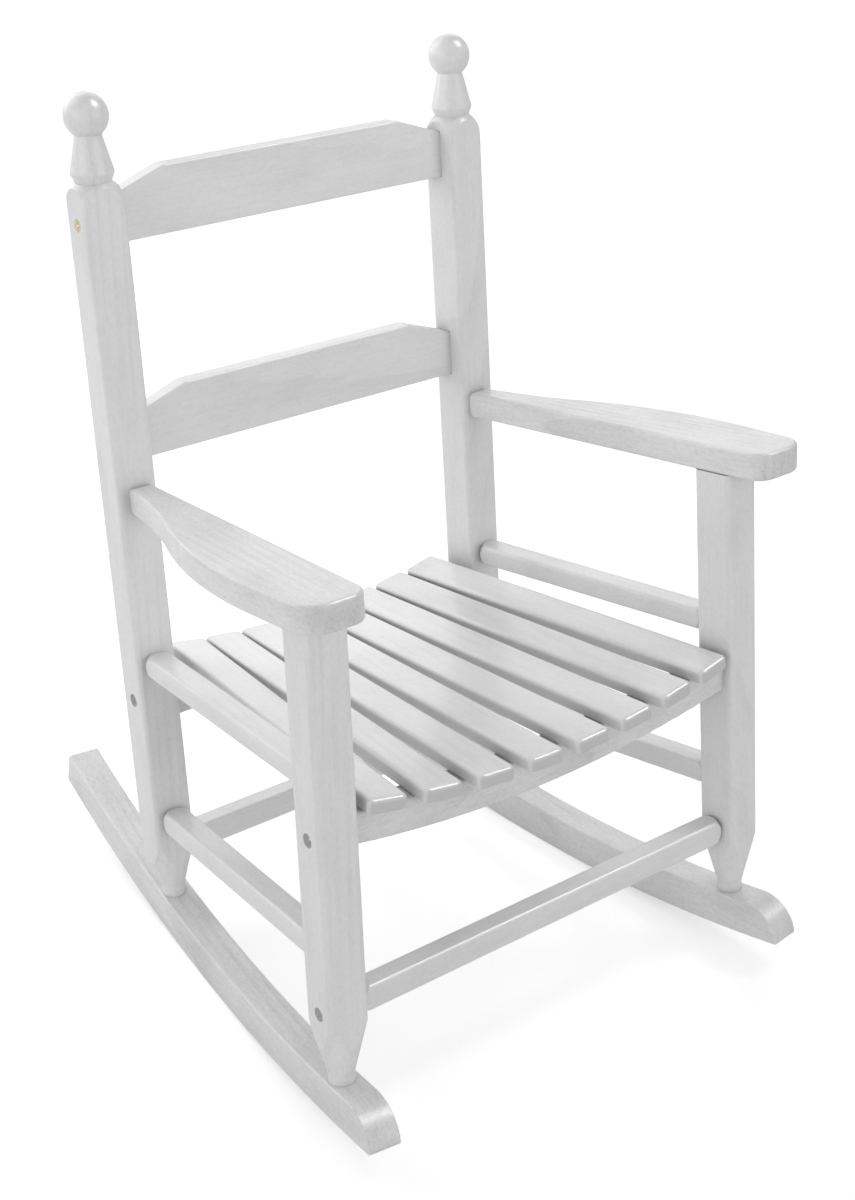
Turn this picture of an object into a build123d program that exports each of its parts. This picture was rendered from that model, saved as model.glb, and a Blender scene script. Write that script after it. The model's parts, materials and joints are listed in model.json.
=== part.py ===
from build123d import *

import math
import os

# A child's slat-seat porch rocking chair.
#
# The chair faces -Y and X = 0 is its plane of symmetry. Left and right are as seen from in
# front of the chair, so right is +X. The two side frames splay outwards to the front and lean
# back. Their pieces are drawn on the right and mirrored for the left. The sizes below belong to
# the drawn chair, rocked forward a little on Z = 0 with Y = 0 midway along its rockers. The
# finished chair is then set down on the floor as it rests in balance, centred in X and Y.
# All lengths are in millimetres and angles in degrees.

# Posts
post_size = 28.0
post_arris = 3.5
post_turn = 4.6
front_foot_x = 170.7
front_foot_y = -176.8
front_lean_back = 5.37
front_lean_in = 1.45
rear_foot_x = 141.5
rear_foot_y = 59.2
rear_lean_back = 5.03
rear_lean_in = 0.3

# Turned feet
foot_diameter = 17.0
foot_collar = 6.5
front_taper_top = 77.0
rear_taper_top = 75.0
foot_tenon_diameter = 12.0
foot_tenon_length = 15.0

# Turned finials, measured up from the shoulder of the rear post
shoulder_height = 508.0
shoulder_rise = 13.5
groove_diameter = 22.6
rim_height = 5.2
rim_diameter = 27.0
rim_round = 1.5
neck_height = 41.0
neck_diameter = 16.3
ball_diameter = 27.3

# Rockers
rocker_length = 452.6
rocker_thickness = 23.0
rocker_height = 26.0
rocker_radius = 1016.0
rocker_splay = 7.0
rocker_mid_x = 147.5
rocker_centre_y = -65.5
rocker_nose_angle = 14.5
rocker_nose_share = 0.9
rocker_corner_round = 2.0
rocker_arris = 1.5

# Arms
arm_thickness = 18.0
arm_height = 359.5
arm_slope = 6.37
arm_outer_x = 194.0
arm_front_overhang = 41.0
arm_inner_front_x = 151.1
arm_inner_rear_x = 131.0
arm_swell_length = 15.0
arm_turn_x = 165.5
arm_turn_length = 150.0
arm_rear_outer_x = 146.0
arm_outer_corner = 17.0
arm_inner_corner = 13.0
arm_edge_round = 2.5
arm_end_round = 5.0
arm_end_trim = 1.5
arm_tenon_diameter = 16.0
arm_tenon_length = 11.0

# Back slats
back_slat_thickness = 13.0
back_slat_lead = 3.0
back_slat_shoulder_x = 90.0
back_slat_end_drop = 14.7
back_slat_round = 1.5
back_slat_housing = 9.0
upper_slat_bottom = 482.8
upper_slat_depth = 41.8
lower_slat_bottom = 346.2
lower_slat_depth = 42.5

# Seat rails
seat_rail_thickness = 18.0
seat_rail_round = 1.5
front_rail_top = 202.9
front_rail_depth = 24.5
front_dish_radius = 1080.0
front_belly_radius = 860.0
rear_rail_top = 188.9
rear_rail_depth = 21.0
rear_dish_radius = 660.0
front_rail_tenon_drop = 1.1
rear_rail_tenon_drop = 4.7

# Seat slats
seat_slat_count = 8
seat_slat_width = 27.0
seat_slat_thickness = 9.5
seat_slat_corner = 4.0
seat_slat_top_round = 3.0
seat_slat_bottom_round = 1.5
front_slat_pitch = 37.85
rear_slat_pitch = 29.7
seat_front_overhang = 29.0
seat_rear_overhang = 16.8
seat_front_bow_radius = 900.0

# Side rails and stretchers
side_rail_width = 18.0
side_rail_height = 14.5
side_rail_round = 3.0
side_rail_front_height = 234.3
side_rail_rear_height = 211.8
side_stretcher_width = 17.0
side_stretcher_height = 16.0
side_stretcher_round = 2.5
side_stretcher_front_height = 120.3
side_stretcher_rear_height = 96.0
cross_stretcher_width = 14.5
cross_stretcher_height = 19.0
cross_stretcher_round = 2.5
front_stretcher_height = 84.5
rear_stretcher_height = 70.4

# Round tenons at the ends of the rails and stretchers
tenon_diameter = 12.5
tenon_depth = 11.0
tenon_dome = 9.0
tenon_dome_relief = 0.5

# Fasteners
screw_diameter = 4.0
screw_head_diameter = 8.0
screw_length = 38.0
screw_point = 5.0
screw_head_sink = 0.3
counterbore_diameter = 9.0
counterbore_depth = 2.5
upper_slat_screw_height = 497.5
arm_screw_length = 50.0
brad_diameter = 1.6
brad_length = 19.0
brad_cover = 1.0

# Densities, in grams per cubic centimetre
wood_density = 0.65
steel_density = 7.85

# Fits
tenon_clearance = 0.1
tenon_end_gap = 0.5
glue_line = 0.1
screw_clearance = 0.1
brad_clearance = 0.05

# Derived sizes
half_post = post_size / 2
post_corner_radius = (half_post - post_arris) * math.sqrt(2) + post_arris
tenon_stop = half_post - tenon_depth


class PostLine:
    """Centre line of a right-hand post, with the frame of its square section."""

    def __init__(self, foot_x, foot_y, lean_back, lean_in):
        self.foot = Vector(foot_x, foot_y, 0)
        inward = -math.tan(math.radians(lean_in))
        backward = math.tan(math.radians(lean_back))
        self.axis = Vector(inward, backward, 1).normalized()
        turn = math.radians(post_turn)
        outward = Vector(math.cos(turn), math.sin(turn), 0)
        outward = outward - self.axis * outward.dot(self.axis)
        self.frame = Plane(origin=self.foot, x_dir=outward, z_dir=self.axis)

    def along(self, height):
        """Distance up the post to a height above the floor."""
        return height / self.axis.Z

    def at(self, height):
        """Point of the centre line at a height above the floor."""
        return self.foot + self.axis * self.along(height)


front_line = PostLine(front_foot_x, front_foot_y, front_lean_back, front_lean_in)
rear_line = PostLine(rear_foot_x, rear_foot_y, rear_lean_back, rear_lean_in)


def mirrored(shape):
    """The left-hand twin of a right-hand shape."""
    return mirror(shape, about=Plane.YZ)


def both_sides(shape):
    """A right-hand shape and its left-hand twin as one compound."""
    return Compound([*shape.solids(), *mirrored(shape).solids()])


def across(point):
    """The left-hand twin of a right-hand point."""
    return Vector(-point.X, point.Y, point.Z)


def span_frame(start, end):
    """Frame at start with Z along the bar, X level and Y as near upright as it can be."""
    along = (end - start).normalized()
    return Plane(origin=start, x_dir=Vector(0, 0, 1).cross(along), z_dir=along)


def rod(frame, radius, low, high):
    """Round rod on the Z axis of a frame, between two distances along it."""
    return frame * Pos(0, 0, low) * Cylinder(radius, high - low, align=(Align.CENTER, Align.CENTER, Align.MIN))


# ---------------------------------------------------------------- rockers

rocker_frame = Plane(
    origin=(rocker_mid_x, 0, 0),
    x_dir=(-math.sin(math.radians(rocker_splay)), math.cos(math.radians(rocker_splay)), 0),
    z_dir=(math.cos(math.radians(rocker_splay)), math.sin(math.radians(rocker_splay)), 0),
)
rocker_arc_u = rocker_centre_y / math.cos(math.radians(rocker_splay))


def rocker_arc(radius, start_u, end_u):
    """Arc about the rocking centre, between two distances along the rocker."""
    middle_u = (start_u + end_u) / 2

    def point(u):
        return (u, rocker_radius - math.sqrt(radius**2 - (u - rocker_arc_u) ** 2))

    return ThreePointArc(point(start_u), point(middle_u), point(end_u))


def rocker_profile():
    """Side outline of a rocker: two concentric arcs, a round nose and a square tail, corners eased."""
    top_radius = rocker_radius - rocker_height
    half_length = rocker_length / 2
    tail_angle = math.asin((half_length - rocker_arc_u) / rocker_radius)
    tail_top_u = half_length - rocker_height * math.sin(tail_angle)
    nose_top_u = -half_length + rocker_height * math.tan(math.radians(rocker_nose_angle))
    bottom = rocker_arc(rocker_radius, -half_length, half_length)
    top = rocker_arc(top_radius, nose_top_u, tail_top_u)
    nose = Line(bottom @ 0, top @ 0)
    tail = Line(bottom @ 1, top @ 1)
    face = make_face([bottom, tail, top, nose])
    nose_turn = math.radians((nose % 0).get_angle(top % 0))
    nose_radius = rocker_nose_share * nose.length / math.tan(nose_turn / 2)
    face = fillet(face.vertices().sort_by_distance(top @ 0)[0], nose_radius)
    corners = [face.vertices().sort_by_distance(point)[0] for point in (bottom @ 0, bottom @ 1, top @ 1)]
    return fillet(corners, rocker_corner_round)


def rocker_blank():
    """Right-hand rocker before its sockets are bored."""
    board = extrude(rocker_frame * rocker_profile(), rocker_thickness / 2, both=True)
    long_edges = board.edges().filter_by(lambda edge: abs(edge.tangent_at(0.5).dot(rocker_frame.z_dir)) < 0.5)
    return fillet(long_edges, rocker_arris)


def ground_under_feet():
    """Everything below the top of the right-hand rocker and its glue, to trim the feet."""
    top_radius = rocker_radius - rocker_height - glue_line
    half_length = rocker_length / 2
    arc = rocker_arc(top_radius, -half_length, half_length)
    front_corner = (-half_length, -post_size)
    rear_corner = (half_length, -post_size)
    outline = make_face([arc, Polyline(arc @ 0, front_corner, rear_corner, arc @ 1)])
    return extrude(rocker_frame * outline, post_size, both=True)


def rocker_top_height(line):
    """Height at which a post's centre line meets the top of the rocker."""
    top_radius = rocker_radius - rocker_height
    height = rocker_height
    for _ in range(4):
        u = (line.at(height) - rocker_frame.origin).dot(rocker_frame.x_dir)
        height = rocker_radius - math.sqrt(top_radius**2 - (u - rocker_arc_u) ** 2)
    return height


def foot_tenon(line, clearance, end_gap):
    """Round tenon under a post, or its socket when the clearances are given."""
    top = line.along(rocker_top_height(line)) + foot_collar
    bottom = line.along(rocker_top_height(line)) - foot_tenon_length - end_gap
    return rod(line.frame, foot_tenon_diameter / 2 + clearance, bottom, top)


def rocker():
    """Right-hand rocker with a blind socket for each foot."""
    body = rocker_blank()
    for line in (front_line, rear_line):
        body -= foot_tenon(line, tenon_clearance, tenon_end_gap)
    return body


# ------------------------------------------------------------------ posts


def foot_outline(line, taper_top):
    """Right half of a turned foot: collar, straight taper, then clear of the square."""
    foot_radius = foot_diameter / 2
    collar_top = line.along(rocker_top_height(line)) + foot_collar
    corner_height = line.along(taper_top)
    slope = (post_corner_radius - foot_radius) / (corner_height - collar_top)
    clear_radius = post_size
    clear_height = corner_height + (clear_radius - post_corner_radius) / slope
    return [(0, 0), (foot_radius, 0), (foot_radius, collar_top), (clear_radius, clear_height)]


def turned(line, outline_wires):
    """Solid of revolution about a post's centre line from a half outline in X and Z."""
    half = Plane.XZ * make_face(outline_wires)
    return line.frame * revolve(half, axis=Axis.Z)


def square_bar(line, top):
    """The square stock of a post with its four rounded arrises."""
    section = RectangleRounded(post_size, post_size, post_arris)
    return line.frame * extrude(section, top)


def front_post_blank():
    """Right-hand front post without sockets: square stock, turned foot, top cut to the arm."""
    top = front_line.along(arm_height)
    foot = foot_outline(front_line, front_taper_top)
    envelope = turned(front_line, Polyline(*foot, (post_size, top), (0, top), (0, 0)))
    body = square_bar(front_line, top) & envelope
    body -= ground_under_feet()
    return body - above_arm_underside()


def finial_outline(line):
    """Half outline above the shoulder: dome, groove, rim, cone and ball, from outside in."""
    base = line.along(shoulder_height)
    groove = (groove_diameter / 2, base + shoulder_rise)
    rim = (rim_diameter / 2, base + shoulder_rise + rim_height)
    neck_radius = neck_diameter / 2
    ball_radius = ball_diameter / 2
    neck = (neck_radius, base + neck_height)
    ball_centre = base + neck_height + math.sqrt(ball_radius**2 - neck_radius**2)
    dome = TangentArc((post_corner_radius, base), groove, tangent=(0, 1))
    cone = FilletPolyline(groove, rim, neck, radius=rim_round)
    ball = ThreePointArc(neck, (ball_radius, ball_centre), (0, ball_centre + ball_radius))
    return [dome, cone, ball], ball_centre + ball_radius


def rear_post_blank():
    """Right-hand rear post without sockets: square stock with turned foot and finial."""
    finial, tip = finial_outline(rear_line)
    base = rear_line.along(shoulder_height)
    foot = foot_outline(rear_line, rear_taper_top)
    shaft = Polyline((0, tip), *foot, (post_size, base), (post_corner_radius, base))
    envelope = turned(rear_line, [shaft, *finial])
    body = square_bar(rear_line, tip) & envelope
    return body - ground_under_feet()


# ------------------------------------------------------------------- arms

arm_frame = Plane(
    origin=(0, front_line.at(arm_height).Y, arm_height),
    x_dir=(1, 0, 0),
    z_dir=(0, math.sin(math.radians(arm_slope)), math.cos(math.radians(arm_slope))),
)


def above_arm_underside():
    """Everything above the underside of the arms, over the front post."""
    cover = Box(post_size * 4, post_size * 4, post_size * 2, align=(Align.CENTER, Align.CENTER, Align.MIN))
    return arm_frame * Pos(front_line.at(arm_height).X, 0, -arm_thickness) * cover


def arm_rear_end():
    """Distance along the arm from the front post's centre line to the rear post's face."""
    facing = -rear_line.frame.y_dir
    end_height = arm_height - (rear_line.at(arm_height).Y - front_line.at(arm_height).Y) * math.sin(
        math.radians(arm_slope)
    )
    face_point = rear_line.at(end_height) + facing * half_post
    along = arm_frame.y_dir
    return (face_point - arm_frame.origin).dot(facing) / along.dot(facing)


def arm_outline():
    """Plan of the right-hand arm in its own plane, with Y running back."""
    rear = arm_rear_end() + half_post / 2
    inner_rear = (arm_inner_rear_x, rear)
    inner_front = (arm_inner_front_x, -arm_front_overhang)
    outer_front = (arm_outer_x, -arm_front_overhang)
    swell = (arm_outer_x, arm_swell_length)
    turn = (arm_turn_x, arm_turn_length)
    outer_rear = (arm_rear_outer_x, rear)
    straight = Polyline(outer_rear, inner_rear, inner_front, outer_front, swell)
    outward_curve = TangentArc(swell, turn, tangent=(0, 1))
    inward_curve = TangentArc(turn, outer_rear, tangent=outward_curve % 1)
    face = make_face([straight, outward_curve, inward_curve])
    face = fillet(face.vertices().sort_by_distance(outer_front)[0], arm_outer_corner)
    return fillet(face.vertices().sort_by_distance(inner_front)[0], arm_inner_corner)


def arm_side_profile():
    """Side view of an arm: a plain board whose rear end is rounded above and below."""
    rear = arm_rear_end() + arm_end_trim
    length = rear + arm_front_overhang
    board = Pos(rear - length / 2, -arm_thickness / 2) * Rectangle(length, arm_thickness)
    return fillet(board.vertices().group_by(Axis.X)[-1], arm_end_round)


def arm():
    """Right-hand arm: flat shaped board, rounded edges, socket below and screw hole behind."""
    board = extrude(arm_outline(), arm_thickness, dir=(0, 0, -1))
    levels = board.faces().group_by(Axis.Z)
    board = fillet(levels[0].edges() + levels[-1].edges(), arm_edge_round)
    board = arm_frame * (board & extrude(Plane.YZ * arm_side_profile(), arm_outer_x + post_size))
    board -= rear_post_blank()
    board -= arm_tenon(tenon_clearance, tenon_end_gap)
    return board - arm_screw_hole()


def arm_tenon(clearance, end_gap):
    """Round tenon on top of the front post, or its socket when the clearances are given."""
    underside = front_line.along(arm_height) - arm_thickness
    top = underside + arm_tenon_length + end_gap
    return rod(front_line.frame, arm_tenon_diameter / 2 + clearance, underside - post_size, top)


# ------------------------------------------------------- rails, stretchers


def bar_tenons(start, end, clearance, end_gap):
    """Round tenons at both ends of a bar, or their sockets when the clearances are given."""
    radius = tenon_diameter / 2 + clearance
    stop = tenon_stop - end_gap
    root = half_post + tenon_dome
    return rod(span_frame(start, end), radius, stop, root) + rod(span_frame(end, start), radius, stop, root)


def dome_ends(start, end, reach):
    """Envelope that rounds both ends of a bar down to its tenons like a tenon cutter."""
    frame = span_frame(start, end)
    length = (end - start).length
    tenon_radius = tenon_diameter / 2
    near = (tenon_radius, half_post)
    wide = (reach, half_post + tenon_dome)
    far_wide = (reach, length - half_post - tenon_dome)
    far = (tenon_radius, length - half_post)
    near_dome = TangentArc(wide, near, tangent=(0, -1))
    far_dome = TangentArc(far_wide, far, tangent=(0, 1))
    axis_side = Polyline(near, (tenon_radius, 0), (0, 0), (0, length), (tenon_radius, length), far)
    half = make_face([near_dome, Line(wide, far_wide), far_dome, axis_side])
    return frame * revolve(Plane.XZ * half, axis=Axis.Z)


def stretcher(start, end, width, height, corner, blanks):
    """Rounded bar between two posts, its ends rounded down to round tenons."""
    frame = span_frame(start, end)
    length = (end - start).length
    bar = frame * extrude(RectangleRounded(width, height, corner), length)
    reach = math.hypot(width / 2 - corner, height / 2 - corner) + corner + tenon_dome_relief
    bar = bar & dome_ends(start, end, reach)
    for blank in blanks:
        bar -= blank
    return bar + bar_tenons(start, end, 0, 0)


side_rail_ends = (front_line.at(side_rail_front_height), rear_line.at(side_rail_rear_height))
side_stretcher_ends = (
    front_line.at(side_stretcher_front_height),
    rear_line.at(side_stretcher_rear_height),
)
front_stretcher_end = front_line.at(front_stretcher_height)
rear_stretcher_end = rear_line.at(rear_stretcher_height)
front_rail_end = front_line.at(front_rail_top - front_rail_tenon_drop)
rear_rail_end = rear_line.at(rear_rail_top - rear_rail_tenon_drop)


def side_bar_sockets(ends):
    """Sockets in both posts for a rail or stretcher of the side frame."""
    return bar_tenons(*ends, tenon_clearance, tenon_end_gap)


def cross_bar_socket(end):
    """Sockets in the posts of both sides for a rail or stretcher across the chair."""
    return bar_tenons(across(end), end, tenon_clearance, tenon_end_gap)


# ------------------------------------------------------------------- seat

front_rail_seat = Vector(0, front_rail_end.Y, front_rail_top)
rear_rail_seat = Vector(0, rear_rail_end.Y, rear_rail_top)
seat_frame = Plane(
    origin=front_rail_seat,
    x_dir=(1, 0, 0),
    z_dir=Vector(1, 0, 0).cross((rear_rail_seat - front_rail_seat).normalized()),
)
seat_span = (rear_rail_seat - front_rail_seat).length


def dish(radius, x):
    """Rise of a dished edge above its middle, at a distance from the plane of symmetry."""
    return radius - math.sqrt(radius**2 - x**2)


def dish_slope(radius, x):
    """Slope of a dished edge at a distance from the plane of symmetry, in degrees."""
    return math.degrees(math.asin(x / radius))


def front_seat_rail():
    """Front cross rail: dished above and bellied below."""
    belly = dish(front_belly_radius, front_rail_end.X)
    half_length = front_rail_end.X
    bottom = ThreePointArc(
        (-half_length, belly - front_rail_depth), (0, -front_rail_depth), (half_length, belly - front_rail_depth)
    )
    return seat_rail_body(front_rail_seat, front_rail_end, front_dish_radius, bottom, front_post_blank())


def rear_seat_rail():
    """Rear cross rail: dished above and straight below."""
    half_length = rear_rail_end.X
    bottom = Line((-half_length, -rear_rail_depth), (half_length, -rear_rail_depth))
    return seat_rail_body(rear_rail_seat, rear_rail_end, rear_dish_radius, bottom, rear_post_blank())


def seat_rail_body(seat_point, end, dish_radius, bottom, post_blank):
    """Board under a dished top edge, shouldered on the posts, with tenons and brad holes."""
    rise = dish(dish_radius, end.X)
    top = ThreePointArc((-end.X, rise), (0, 0), (end.X, rise))
    face = make_face([top, bottom, Line(top @ 0, bottom @ 0), Line(top @ 1, bottom @ 1)])
    rail_plane = Plane(origin=seat_point, x_dir=(1, 0, 0), z_dir=-seat_frame.y_dir)
    body = extrude(rail_plane * face, seat_rail_thickness / 2, both=True)
    long_edges = body.edges().filter_by(lambda edge: abs(edge.tangent_at(0.5).X) > 0.5)
    body = fillet(long_edges, seat_rail_round)
    body -= post_blank
    body -= mirrored(post_blank)
    body += bar_tenons(across(end), end, 0, 0)
    for hole in brad_rods(brad_clearance):
        body -= hole
    return body - both_sides(cross_screw_hole(end))


class SeatSlat:
    """Place of one seat slat: a flat board laid across both dished rails."""

    def __init__(self, number):
        self.offset = number - (seat_slat_count - 1) / 2
        self.front_x = self.offset * front_slat_pitch
        self.rear_x = self.offset * rear_slat_pitch
        half_width = seat_slat_width / 2
        front_tilt = dish_slope(front_dish_radius, self.front_x)
        rear_tilt = dish_slope(rear_dish_radius, self.rear_x)
        self.tilt = (front_tilt + rear_tilt) / 2
        twist_gap = half_width * math.radians(abs(front_tilt - rear_tilt) / 2)
        edge_gap = half_width**2 / (2 * min(front_dish_radius, rear_dish_radius))
        self.lift = twist_gap + edge_gap + glue_line

    def frame(self):
        """Frame on the slat's underside over the front rail, with Y running back along it."""
        front = Vector(self.front_x, 0, dish(front_dish_radius, self.front_x))
        rear = Vector(self.rear_x, seat_span, dish(rear_dish_radius, self.rear_x))
        along = (rear - front).normalized()
        tilt = math.radians(self.tilt)
        normal = Vector(math.cos(tilt), 0, math.sin(tilt)).cross(along).normalized()
        local = Plane(origin=front + normal * self.lift, x_dir=along.cross(normal), z_dir=normal)
        return Plane(
            origin=seat_frame.from_local_coords(local.origin),
            x_dir=seat_frame.from_local_coords(local.x_dir) - seat_frame.origin,
            z_dir=seat_frame.from_local_coords(local.z_dir) - seat_frame.origin,
        )

    def span(self):
        """Distance between the two rails measured along this slat."""
        return math.hypot(seat_span, self.front_x - self.rear_x)

    def board(self):
        """The slat as a board with rounded ends, corners and edges."""
        bow = dish(seat_front_bow_radius, self.front_x)
        front = -seat_front_overhang + bow
        rear = self.span() + seat_rear_overhang
        middle = Pos(0, (front + rear) / 2, 0)
        plan = middle * RectangleRounded(seat_slat_width, rear - front, seat_slat_corner)
        board = extrude(plan, seat_slat_thickness)
        board = fillet(board.faces().sort_by(Axis.Z)[-1].edges(), seat_slat_top_round)
        board = fillet(board.faces().sort_by(Axis.Z)[0].edges(), seat_slat_bottom_round)
        return self.frame() * board

    def brads(self, clearance):
        """The two brads that hold the slat, or their holes when a clearance is given."""
        top = seat_slat_thickness - brad_cover + clearance
        bottom = seat_slat_thickness - brad_cover - brad_length - clearance
        radius = brad_diameter / 2 + clearance
        frame = self.frame()
        return [
            frame * Pos(0, y, bottom) * Cylinder(radius, top - bottom, align=(Align.CENTER, Align.CENTER, Align.MIN))
            for y in (0, self.span())
        ]

    def solid(self):
        """The slat with its two brad holes, which stop short of its top."""
        body = self.board()
        for hole in self.brads(brad_clearance):
            body -= hole
        return body


seat_slats = [SeatSlat(number) for number in range(seat_slat_count)]


def brad_rods(clearance):
    """All brads, or all brad holes when a clearance is given."""
    return [brad for slat in seat_slats for brad in slat.brads(clearance)]


# ------------------------------------------------------------------- back


def back_slat_board(bottom, depth, grow):
    """Board between the rear posts with sloping upper corners, grown all round by a fit."""
    base = rear_line.at(bottom)
    plane = Plane(origin=(0, base.Y, base.Z), x_dir=(1, 0, 0), z_dir=(0, -rear_line.axis.Z, rear_line.axis.Y))
    end_x = base.X - half_post + back_slat_housing
    end_top = depth - back_slat_end_drop
    outline = Polyline(
        (-end_x - grow, -grow),
        (end_x + grow, -grow),
        (end_x + grow, end_top + grow),
        (back_slat_shoulder_x, depth + grow),
        (-back_slat_shoulder_x, depth + grow),
        (-end_x - grow, end_top + grow),
        close=True,
    )
    thickness = back_slat_thickness + 2 * grow
    board = extrude(make_face(outline), thickness / 2, both=True)
    return plane * Pos(0, 0, back_slat_lead - back_slat_thickness / 2) * board


def back_slat(bottom, depth):
    """Back slat with rounded long edges, housed in both rear posts."""
    board = back_slat_board(bottom, depth, 0)
    long_edges = board.edges().filter_by(lambda edge: abs(edge.tangent_at(0.5).X) > 0.9)
    return fillet(long_edges, back_slat_round)


# -------------------------------------------------------------- fasteners


def screw_solid(frame, length):
    """Countersunk screw pointing down the frame's Z axis, its head flush with the origin."""
    radius = screw_diameter / 2
    head_radius = screw_head_diameter / 2
    head_height = head_radius - radius
    outline = Polyline(
        (0, 0),
        (head_radius, 0),
        (radius, -head_height),
        (radius, -length + screw_point),
        (0, -length),
        close=True,
    )
    return frame * revolve(Plane.XZ * make_face(outline), axis=Axis.Z)


def screw_hole(frame, length, mouth_diameter):
    """Hole for a countersunk screw, with a round mouth that leaves its head open to view."""
    radius = screw_diameter / 2 + screw_clearance
    head_radius = screw_head_diameter / 2 + screw_clearance
    outline = Polyline(
        (0, 0),
        (head_radius, 0),
        (radius, radius - head_radius),
        (radius, screw_point - length - screw_clearance),
        (0, -length - screw_clearance),
        close=True,
    )
    seat = frame * revolve(Plane.XZ * make_face(outline), axis=Axis.Z)
    return seat + rod(frame, mouth_diameter / 2 + screw_clearance, 0, half_post)


def cross_screw_frame(point, sink):
    """Frame of a screw driven in level through the outer face of a right-hand post."""
    return Plane(origin=point + Vector(half_post - sink, 0, 0), x_dir=(0, 1, 0), z_dir=(1, 0, 0))


def arm_screw_frame():
    """Frame of the screw driven forwards through the rear post into the end of the arm."""
    end = arm_frame.from_local_coords(Vector(0, arm_rear_end(), -arm_thickness / 2))
    point = rear_line.at(end.Z)
    backward = rear_line.frame.y_dir
    return Plane(origin=point + backward * (half_post - screw_head_sink), x_dir=(1, 0, 0), z_dir=backward)


def cross_screw(point):
    """Counterbored screw that draws a cross rail or stretcher up to its post."""
    return screw_solid(cross_screw_frame(point, counterbore_depth), screw_length)


def cross_screw_hole(point):
    """Hole and counterbore of a cross screw."""
    return screw_hole(cross_screw_frame(point, counterbore_depth), screw_length, counterbore_diameter)


def back_slat_screw():
    """Flush screw through the rear post into the end of the upper back slat."""
    return screw_solid(cross_screw_frame(rear_line.at(upper_slat_screw_height), screw_head_sink), screw_length)


def back_slat_screw_hole():
    """Hole of the upper back slat's screw."""
    frame = cross_screw_frame(rear_line.at(upper_slat_screw_height), screw_head_sink)
    return screw_hole(frame, screw_length, screw_head_diameter)


def arm_screw():
    """Flush screw through the rear post into the end of the arm."""
    return screw_solid(arm_screw_frame(), arm_screw_length)


def arm_screw_hole():
    """Hole of the arm's screw."""
    return screw_hole(arm_screw_frame(), arm_screw_length, screw_head_diameter)


# --------------------------------------------------------- finished pieces


def front_post():
    """Right-hand front post with its tenons, sockets and screw holes."""
    body = front_post_blank()
    body += foot_tenon(front_line, 0, 0)
    body += arm_tenon(0, 0)
    for ends in (side_rail_ends, side_stretcher_ends):
        body -= side_bar_sockets(ends)
    for end in (front_rail_end, front_stretcher_end):
        body -= cross_bar_socket(end)
        body -= cross_screw_hole(end)
    return body


def rear_post():
    """Right-hand rear post with its foot tenon, sockets, housings and screw holes."""
    body = rear_post_blank()
    body += foot_tenon(rear_line, 0, 0)
    for ends in (side_rail_ends, side_stretcher_ends):
        body -= side_bar_sockets(ends)
    for end in (rear_rail_end, rear_stretcher_end):
        body -= cross_bar_socket(end)
    body -= cross_screw_hole(rear_rail_end)
    body -= back_slat_board(upper_slat_bottom, upper_slat_depth, tenon_clearance)
    body -= back_slat_board(lower_slat_bottom, lower_slat_depth, tenon_clearance)
    body -= back_slat_screw_hole()
    return body - arm_screw_hole()


def side_bar(ends, width, height, corner):
    """Rail or stretcher of the right-hand side frame."""
    blanks = (front_post_blank(), rear_post_blank())
    return stretcher(*ends, width, height, corner, blanks)


def cross_bar(end, blank):
    """Stretcher across the chair between two posts of a pair."""
    blanks = (blank, mirrored(blank))
    return stretcher(
        across(end), end, cross_stretcher_width, cross_stretcher_height, cross_stretcher_round, blanks
    )


def chair():
    """All pieces of the chair by node name, as drawn."""
    rocker_right = rocker()
    front_post_right = front_post()
    rear_post_right = rear_post()
    arm_right = arm()
    side_rail_right = side_bar(side_rail_ends, side_rail_width, side_rail_height, side_rail_round)
    side_stretcher_right = side_bar(
        side_stretcher_ends, side_stretcher_width, side_stretcher_height, side_stretcher_round
    )
    pieces = {
        "rocker": rocker_right,
        "front_post": front_post_right,
        "rear_post": rear_post_right,
        "arm": arm_right,
        "side_rail": side_rail_right,
        "side_stretcher": side_stretcher_right,
    }
    nodes = {}
    for name, piece in pieces.items():
        nodes[f"{name}_right"] = piece
        nodes[f"{name}_left"] = mirrored(piece)

    nodes["seat_rail_front"] = front_seat_rail()
    nodes["seat_rail_rear"] = rear_seat_rail()
    nodes["front_stretcher"] = cross_bar(front_stretcher_end, front_post_blank()) - both_sides(
        cross_screw_hole(front_stretcher_end)
    )
    nodes["rear_stretcher"] = cross_bar(rear_stretcher_end, rear_post_blank())
    nodes["back_slat_upper"] = back_slat(upper_slat_bottom, upper_slat_depth) - both_sides(back_slat_screw_hole())
    nodes["back_slat_lower"] = back_slat(lower_slat_bottom, lower_slat_depth)
    for number, slat in enumerate(seat_slats, start=1):
        nodes[f"seat_slat_{number}"] = slat.solid()

    nodes["back_slat_screws"] = both_sides(back_slat_screw())
    nodes["arm_screws"] = both_sides(arm_screw())
    nodes["seat_rail_screws"] = Compound(
        [*both_sides(cross_screw(front_rail_end)).solids(), *both_sides(cross_screw(rear_rail_end)).solids()]
    )
    nodes["stretcher_screws"] = both_sides(cross_screw(front_stretcher_end))
    nodes["seat_slat_brads"] = Compound([solid for brad in brad_rods(0) for solid in brad.solids()])
    return nodes


# ---------------------------------------------------------------- at rest


def mass_centre(nodes):
    """Centre of mass of the chair, with wooden pieces and steel screws and brads."""
    mass = 0
    moment = Vector(0, 0, 0)
    for name, shape in nodes.items():
        density = steel_density if name.endswith(("screws", "brads")) else wood_density
        for solid in shape.solids():
            mass += solid.volume * density
            moment += solid.center(CenterOf.MASS) * (solid.volume * density)
    return moment * (1 / mass)


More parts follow.
